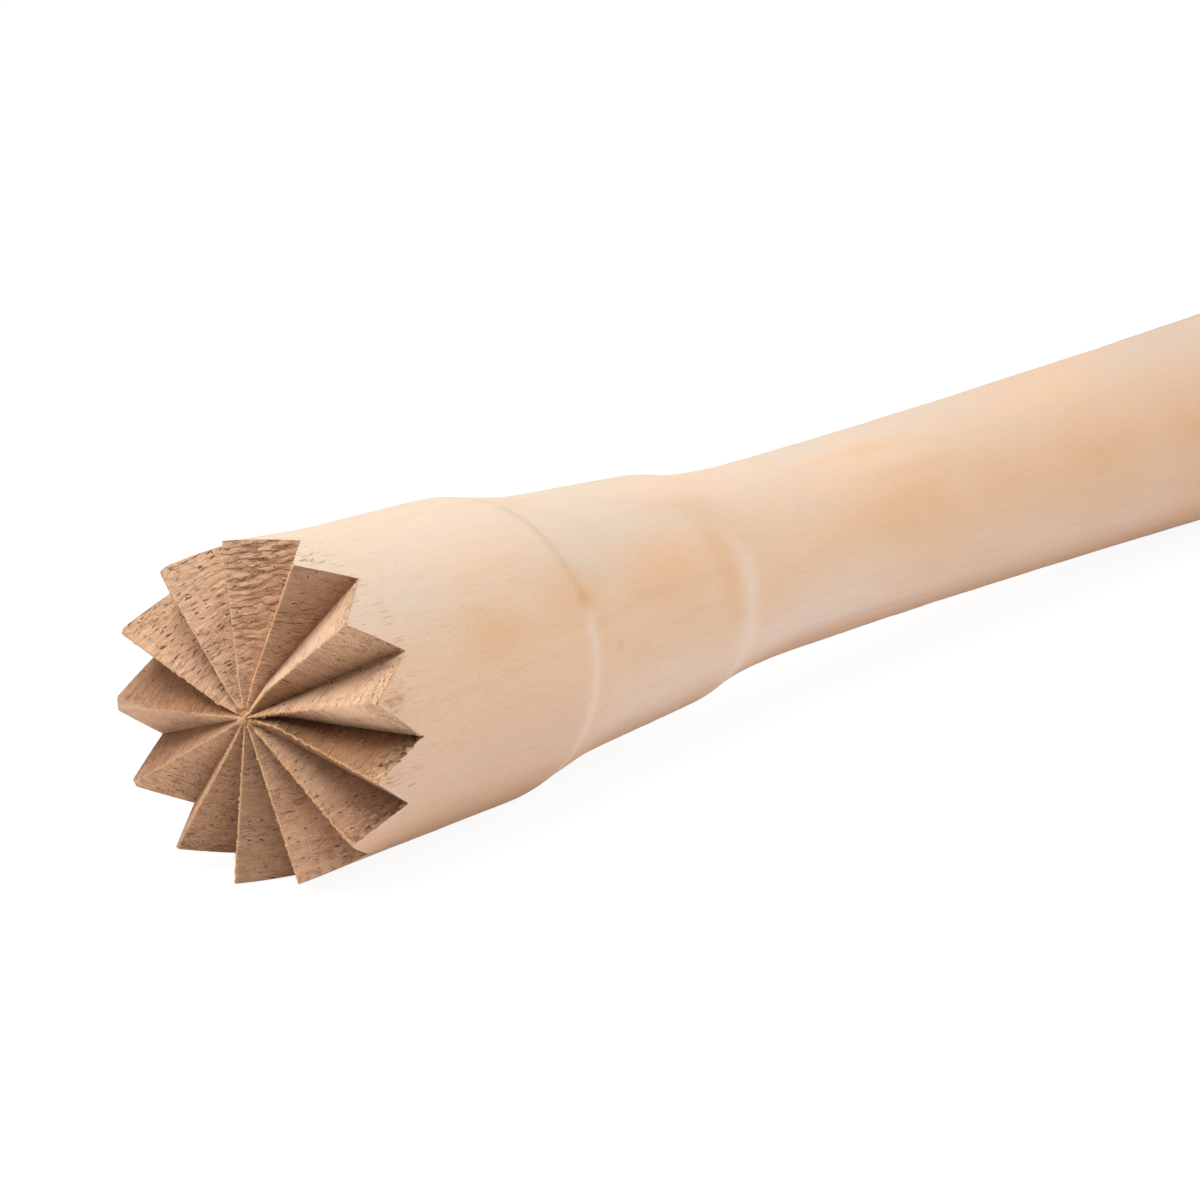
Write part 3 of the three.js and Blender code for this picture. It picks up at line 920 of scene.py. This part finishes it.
def crest_fibres():
    draw = np.random.default_rng(FIBRE_SEED)
    _, before, _ = groove_angles()
    vertices, faces = [], []
    for sliver in torn_slivers(draw, before):
        add_sliver(vertices, faces, *sliver)
    on_crests = np.arange(len(vertices))
    for slivers in (side_splinters(draw, before), rim_slivers(draw)):
        for sliver in slivers:
            add_sliver(vertices, faces, *sliver)
    mesh = bpy.data.meshes.new("crest_fibres")
    mesh.from_pydata([vertex * MM for vertex in vertices], [], faces)
    cut = np.full(len(vertices), SPLINTER_CUT)
    cut[on_crests] = 1.0
    pale = np.full(len(vertices), SPLINTER_PALENESS)
    pale[on_crests] = FIBRE_PALENESS
    # Fibres carry a brighter painted light and tone
    marks = {"cut": cut, "crest": pale, "light_and_tone": np.full(len(vertices), FIBRE_LIGHT_AND_TONE)}
    for mark, values in marks.items():
        store_values(mesh, mark, "FLOAT", "POINT", values)
    return add_piece(mesh)


# Materials

def shade(name):
    """A colour of the palette, in the linear values that shaders use."""
    parts = [part / 255 for part in PALETTE[name]]
    return (*(part / 12.92 if part <= 0.04045 else ((part + 0.055) / 1.055) ** 2.4 for part in parts), 1.0)


class Graph:
    """Short words for building one node tree."""

    def __init__(self, owner):
        owner.use_nodes = True
        self.tree = owner.node_tree
        self.tree.nodes.clear()

    def node(self, kind, inputs=None, **settings):
        made = self.tree.nodes.new("ShaderNode" + kind)
        for setting, value in settings.items():
            setattr(made, setting, value)
        for socket, value in (inputs or {}).items():
            if isinstance(value, bpy.types.NodeSocket):
                self.tree.links.new(value, made.inputs[socket])
            else:
                made.inputs[socket].default_value = value
        return made

    def maths(self, operation, first, second=0.0):
        return self.node("Math", {0: first, 1: second}, operation=operation).outputs[0]

    def plus(self, first, second):
        return self.maths("ADD", first, second)

    def minus(self, first, second):
        return self.maths("SUBTRACT", first, second)

    def times(self, first, second):
        return self.maths("MULTIPLY", first, second)

    def larger(self, first, second):
        return self.maths("MAXIMUM", first, second)

    def between(self, value, low, high, to_low=0.0, to_high=1.0):
        inputs = {"Value": value, "From Min": low, "From Max": high, "To Min": to_low, "To Max": to_high}
        return self.node("MapRange", inputs, interpolation_type="SMOOTHSTEP").outputs["Result"]

    def step(self, value, name):
        return self.between(value, *STEPS[name])

    def mix(self, share, first, second, blend="MIX"):
        inputs = {0: share, 6: first, 7: second}
        return self.node("Mix", inputs, data_type="RGBA", blend_type=blend).outputs[2]

    def tint(self, colour, name, share, *others):
        """Covers a colour with one of the palette, as far as all the shares together say."""
        for other in (*others, *COVER.get(name, ())):
            share = self.times(share, other)
        return self.mix(share, colour, shade(name))

    def blend(self, share, first, second):
        return self.node("Mix", {0: share, 2: first, 3: second}, data_type="FLOAT").outputs[0]

    def vector(self, operation, first, second):
        return self.node("VectorMath", {0: first, 1: second}, operation=operation).outputs[0]

    def length(self, vector):
        return self.node("VectorMath", {0: vector}, operation="LENGTH").outputs["Value"]

    def off_axis(self, vector):
        return self.length(self.vector("MULTIPLY", vector, (0, 1, 1)))

    def millimetres(self):
        return self.vector("MULTIPLY", self.node("TexCoord").outputs["Object"], (1 / MM, 1 / MM, 1 / MM))

    def stretched(self, place, stretch):
        """Inputs of a texture that is stretched differently along each axis."""
        return {"Vector": self.vector("MULTIPLY", place, stretch), "Scale": 1.0}

    def pattern(self, place, name):
        stretch, detail, roughness = PATTERNS[name]
        inputs = {**self.stretched(place, stretch), "Detail": detail, "Roughness": roughness}
        return self.node("TexNoise", inputs).outputs["Fac"]

    def swing(self, place, name, size):
        return self.times(self.minus(self.pattern(place, name), NOISE_MIDDLE), size)

    def hairline(self, place, name, level):
        return self.step(self.maths("ABSOLUTE", self.minus(self.pattern(place, name), level)), name)

    def spindles(self, place, dimensions, stretch, rarity, largest):
        """Slim spindles in the cells whose random value passes rarity."""
        smallest, soft_edge = SPINDLE_EDGES[dimensions]
        inputs = self.stretched(place, stretch)
        cells = self.node("TexVoronoi", inputs, voronoi_dimensions=dimensions).outputs
        kept = self.node("SeparateColor", {0: cells["Color"]}).outputs[0]
        size = self.between(kept, rarity, 1.0, smallest, largest)
        return self.between(self.minus(size, cells["Distance"]), 0.0, soft_edge)

    def mark(self, name):
        return self.node("Attribute", attribute_name=name).outputs["Fac"]

    def relief(self, **values):
        """Sum of the bumps of several patterns, in millimetres."""
        total = 0.0
        for name, value in values.items():
            total = self.plus(total, self.times(value, BUMP[name]))
        return total

    def wood(self, colour, roughness, relief, specular):
        bump = self.node("Bump", {"Strength": 1.0, "Distance": MM, "Height": relief}).outputs["Normal"]
        shader = self.node("BsdfPrincipled", {
            "Base Color": colour, "Roughness": roughness, "Normal": bump, "Specular IOR Level": specular,
        })
        self.node("OutputMaterial", {"Surface": shader.outputs[0]})

    def white(self, kind, strength):
        return self.node(kind, {"Color": WHITE, "Strength": strength}).outputs[0]

    def grey(self, value):
        return self.node("BsdfDiffuse", {"Color": (value, value, value, 1)}).outputs[0]

    def mix_shaders(self, share, first, second):
        return self.node("MixShader", {0: share, 1: first, 2: second}).outputs[0]

    def seen_rays(self):
        """1 for rays that show the backdrop, 0 for rays that would carry its light."""
        path = self.node("LightPath").outputs
        through = self.larger(path["Is Glossy Ray"], path["Is Transmission Ray"])
        return self.larger(path["Is Camera Ray"], through)


def turned_wood():
    material = bpy.data.materials.new("bare_hardwood")
    graph = Graph(material)
    outside, side_relief, side_roughness = sanded_side(graph)
    inside, cut_relief = cut_end_grain(graph)
    cut = graph.mark("cut")
    roughness = graph.blend(cut, side_roughness, CUT_ROUGHNESS)
    relief = graph.blend(cut, side_relief, cut_relief)
    graph.wood(graph.mix(cut, outside, inside), roughness, relief, TURNED_SPECULAR)
    return material


def sanded_side(graph):
    """Colour, relief and roughness of the sanded outside."""
    step, tint, pattern, mark = graph.step, graph.tint, graph.pattern, graph.mark
    place = graph.millimetres()
    x, _, z = graph.node("SeparateXYZ", {0: place}).outputs

    # Painted sheen and bounce: cream above where the light falls, peach in the middle and pinkish below where
    # the floor's bounce falls, in soft uneven bands along the tool
    height = graph.plus(z, graph.swing(place, "drift", DRIFT_HEIGHT))
    top = graph.mix(step(x, "sheen_top_back"), shade("sheen_top_front"), shade("sheen_top_back"))
    upper = graph.mix(step(height, "upper"), shade("middle"), top)
    lower = graph.mix(step(x, "bounce_low_back"), shade("bounce_low_front"), shade("bounce_low_back"))
    colour = graph.mix(step(height, "lower"), upper, lower)
    colour = tint(colour, "grip", step(x, "grip"))
    butt = step(x, "butt")
    # Painted shade, darker on the underside
    underside = step(graph.maths("DIVIDE", z, graph.off_axis(place)), "underside")
    colour = tint(colour, "underside", underside, graph.minus(1.0, butt))

    # Growth rings about a heart that lies outside the blank, plainest on the butt's end grain
    rings = graph.off_axis(graph.vector("SUBTRACT", place, HEART))
    rings = graph.plus(rings, graph.times(pattern(place, "wave"), WAVE_HEIGHT))
    ring_place = graph.node("CombineXYZ", {0: rings}).outputs[0]
    ring = step(pattern(ring_place, "ring"), "growth_ring")
    colour = tint(colour, "butt", butt)
    colour = tint(colour, "growth_ring", ring, step(butt, "ring_on_butt"))

    # Soft orange streaks along the grain, and orange spots that are mostly painted shade along the shaded
    # band on the -y side
    cloud = pattern(place, "cloud")
    colour = tint(colour, "streak", step(pattern(place, "streak"), "streak"))
    colour = tint(colour, "orange_shade_and_patch", mark("orange_shade_and_patch"), step(cloud, "orange_shade_and_patch"))
    # Painted highlight in pale lines along the shoulders
    colour = tint(colour, "shoulder_highlight", mark("shoulder_highlight"))
    # Painted shade in a darker line on the first shoulder
    colour = tint(colour, "shoulder_shade", mark("shoulder_shade"), step(cloud, "shoulder_shade"))

    # Fine fibres, sanding dust in the pores and vessels, and short orange tears beside the teeth
    near_teeth = step(x, "near_teeth")
    fibre = pattern(place, "side_fibre")
    dust = pattern(place, "dust")
    vessel = graph.times(graph.spindles(place, *VESSELS), step(butt, "vessel_on_butt"))
    tear = graph.times(graph.spindles(place, *TEARS), step(x, "beside_teeth"))
    colour = tint(colour, "side_fibre", step(fibre, "side_fibre"), near_teeth)
    colour = tint(colour, "dust", step(dust, "dust"), near_teeth)
    colour = tint(colour, "vessel", vessel)
    colour = tint(colour, "tear", tear)
    relief = graph.relief(side_fibre=fibre, dust=dust, vessel=vessel, tear=tear)
    return colour, relief, step(fibre, "side_roughness")


def cut_end_grain(graph):
    """Colour and relief of the cut flanks, in coordinates that lie on each flank."""
    step, tint, pattern, mark = graph.step, graph.tint, graph.pattern, graph.mark
    stored = graph.node("Attribute", attribute_name="flank").outputs["Vector"]
    down, outward, apart = graph.node("SeparateXYZ", {0: stored}).outputs
    along = graph.plus(outward, apart)
    place = graph.node("CombineXYZ", {0: down, 1: along}).outputs[0]
    wobble = graph.node("TexNoise", {"Vector": place, **WOBBLE}, noise_dimensions="2D").outputs["Color"]
    shift = graph.vector("SUBTRACT", wobble, (NOISE_MIDDLE, NOISE_MIDDLE, NOISE_MIDDLE))
    place = graph.vector("ADD", graph.vector("MULTIPLY", shift, WOBBLE_SIZE), place)

    # Broad bands, fibres and speckle, with painted shade in the hollows and a painted highlight on the humps
    # of the torn grain
    patch, band, fibre, speck = (pattern(place, name) for name in ("patch", "band", "fibre", "speck"))
    relief_shade = mark("relief_shade")
    colour = graph.mix(step(band, "dark_band"), shade("pale_band"), shade("dark_band"))
    layers = {
        "patch": patch, "dark_fibre": fibre, "pale_fibre": fibre, "dark_speck": speck,
        "pale_speck": speck, "relief_shade": relief_shade, "hump": relief_shade,
    }
    for name, value in layers.items():
        colour = tint(colour, name, step(value, name))

    # Each flank's painted light and shade, with its own tone: warmer where shaded, paler where lit
    light_and_tone = mark("light_and_tone")
    colour = graph.node("VectorMath", {0: colour, "Scale": light_and_tone}, operation="SCALE").outputs[0]
    colour = graph.mix(step(light_and_tone, "shaded_flank"), colour, SHADED_FLANK_FILTER, "MULTIPLY")
    colour = tint(colour, "pale_flank", step(light_and_tone, "pale_flank"))

    # Wavy scales where the grain tore out: each rises to an edge that hangs over the next one, with a painted
    # shadow at the foot of each drop and a painted highlight on each edge
    torn = mark("torn")
    curve = graph.plus(graph.swing(place, "bend", SCALE_BEND), graph.swing(place, "curl", SCALE_CURL))
    scale = graph.maths("FRACT", graph.plus(graph.times(along, SCALES_PER_MM), curve))
    scaly = graph.times(step(torn, "scaly"), step(band, "scaly_band"))
    scaly = graph.times(scaly, step(outward, "scaly_outward"))
    for name in ("scale_shadow", "scale_edge"):
        colour = tint(colour, name, step(scale, name), scaly)

    # Hair cracks along the fibres
    crack = graph.times(graph.hairline(place, "crack", NOISE_MIDDLE), step(patch, "crack_patch"))
    colour = tint(colour, "crack", crack)

    # Torn pores: short dark dashes, each with a raised pale lip on one side where a highlight is painted, and
    # smaller dots
    sizes = (step(torn, "pore_rarity"), step(torn, "pore_size"))
    pore = graph.spindles(place, *PORES, *sizes)
    lip = graph.minus(graph.spindles(graph.vector("ADD", place, PORE_LIT_LIP), *PORES, *sizes), pore)
    open_grain = step(light_and_tone, "open_grain")
    unscaled = graph.minus(1.0, graph.times(scaly, PORES_UNDER_SCALES))
    pore = graph.times(pore, graph.times(unscaled, open_grain))
    lip = graph.times(lip, open_grain)
    dot = graph.times(graph.spindles(place, *DOTS), open_grain)
    colour = tint(colour, "lip", step(lip, "lip"))
    colour = tint(colour, "pore", pore)
    colour = tint(colour, "dot", dot)

    # Paler wood with short cracks where a flank runs out at the rim, partly painted light where the light
    # only grazes it
    rim = mark("rim")
    colour = tint(colour, "rim", rim, step(pattern(place, "fray"), "fray"))
    split = graph.times(graph.hairline(place, "split", SPLIT_LEVEL), step(rim, "split_rim"))
    colour = tint(colour, "split", split)

    # Painted shade in the valleys, fuzzy pale crests and worn tips
    colour = tint(colour, "valley_shade", mark("valley_shade"))
    colour = tint(colour, "crest", mark("crest"), step(pattern(place, "fuzz"), "fuzz"))
    colour = tint(colour, "worn", mark("worn"))
    relief = graph.relief(
        speck=speck, fibre=fibre, torn=graph.times(band, torn),
        scale=graph.times(step(scale, "scale_height"), scaly), lip=lip,
        pore=graph.larger(pore, dot), crack=graph.larger(crack, split),
    )
    return colour, relief


def dowel_wood():
    material = bpy.data.materials.new("milled_dowel")
    graph = Graph(material)
    fibre = graph.pattern(graph.millimetres(), "dowel")
    colour = graph.mix(graph.step(fibre, "dowel"), shade("pale_dowel"), shade("dark_dowel"))
    graph.wood(colour, graph.step(fibre, "dowel_roughness"), graph.relief(dowel=fibre), DOWEL_SPECULAR)
    return material


# Stage

def floor_material():
    """Pale floor that runs into the backdrop's white: bright to the camera, with the tool's shadow kept."""
    material = bpy.data.materials.new("floor_white")
    graph = Graph(material)
    glow = graph.white("Emission", FLOOR_GLOW)
    near = graph.node("AddShader", {0: graph.grey(SHADOW_GREY), 1: glow}).outputs[0]
    far = graph.step(graph.length(graph.node("TexCoord").outputs["Object"]), "backdrop")
    seen = graph.mix_shaders(far, near, graph.white("Emission", BACKDROP_GLOW))
    shader = graph.mix_shaders(graph.seen_rays(), graph.grey(FLOOR_GREY), seen)
    graph.node("OutputMaterial", {"Surface": shader})
    return material


def floor():
    half, height = FLOOR_HALF_WIDTH, FLOOR_HEIGHT
    mesh = bpy.data.meshes.new("floor")
    corners = [(-half, -half, height), (half, -half, height), (half, half, height), (-half, half, height)]
    mesh.from_pydata(corners, [], [(0, 1, 2, 3)])
    mesh.materials.append(floor_material())
    plane = add_object("floor", mesh)


def world():
    """A white backdrop that sheds no light, so that the softboxes alone light the tool."""
    made = bpy.data.worlds.new("studio")
    graph = Graph(made)
    white, unlit = (graph.white("Background", glow) for glow in (BACKDROP_GLOW, BACKDROP_LIGHT))
    graph.node("OutputWorld", {"Surface": graph.mix_shaders(graph.seen_rays(), unlit, white)})
    bpy.context.scene.world = made


def direction(azimuth, elevation):
    """Unit vector from the tool towards an azimuth, 0 at -Y and 90 at +X, and an elevation."""
    a, e = math.radians(azimuth), math.radians(elevation)
    return Vector((math.sin(a) * math.cos(e), -math.cos(a) * math.cos(e), math.sin(e)))


def softboxes():
    aim = tool_matrix().translation
    for name, azimuth, elevation, power in SOFTBOXES:
        data = bpy.data.lights.new(name, "AREA")
        data.shape = "SQUARE"
        data.size = SOFTBOX_SIDE
        data.energy = power
        lamp = add_object(name, data)
        lamp.visible_camera = False
        lamp.location = aim + direction(azimuth, elevation) * SOFTBOX_DISTANCE
        lamp.rotation_euler = (aim - lamp.location).to_track_quat("-Z", "Y").to_euler()


def camera():
    """Places the camera so that the tip plane's centre falls on its pixel of the photograph."""
    back = direction(CAMERA_AZIMUTH, CAMERA_ELEVATION)
    right = Vector((0, 0, 1)).cross(back).normalized()
    up = back.cross(right)
    aside = (TIP_CENTRE_PIXEL[0] - IMAGE_SIDE / 2) / FOCAL_PIXELS
    below = (TIP_CENTRE_PIXEL[1] - IMAGE_SIDE / 2) / FOCAL_PIXELS
    tip = tool_matrix().translation
    data = bpy.data.cameras.new("photo_camera")
    data.sensor_width = SENSOR_WIDTH
    data.lens = SENSOR_WIDTH * FOCAL_PIXELS / IMAGE_SIDE
    data.clip_start = CAMERA_CLIP_START
    seat = add_object("photo_camera", data)
    place = tip + (back - right * aside + up * below) * CAMERA_DISTANCE
    seat.matrix_world = Matrix.Translation(place) @ Matrix((right, up, back)).transposed().to_4x4()
    bpy.context.scene.camera = seat


def main():
    bpy.context.scene.view_settings.view_transform = "Standard"
    camera()
    world()
    softboxes()
    floor()
    wood = turned_wood()
    pieces = {"toothed_head": muddler_head(), "neck_collar": tapered_collar(), "handle": swelling_handle()}
    for node, piece in pieces.items():
        piece.data.materials.append(wood)
        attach(piece, "root")
        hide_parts(node)
    fibres = crest_fibres()
    fibres.data.materials.append(wood)
    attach(fibres, "root")
    dowel = frame["nodes"]["joining_dowel"]
    dowel.data.materials.clear()
    dowel.data.materials.append(dowel_wood())


main()
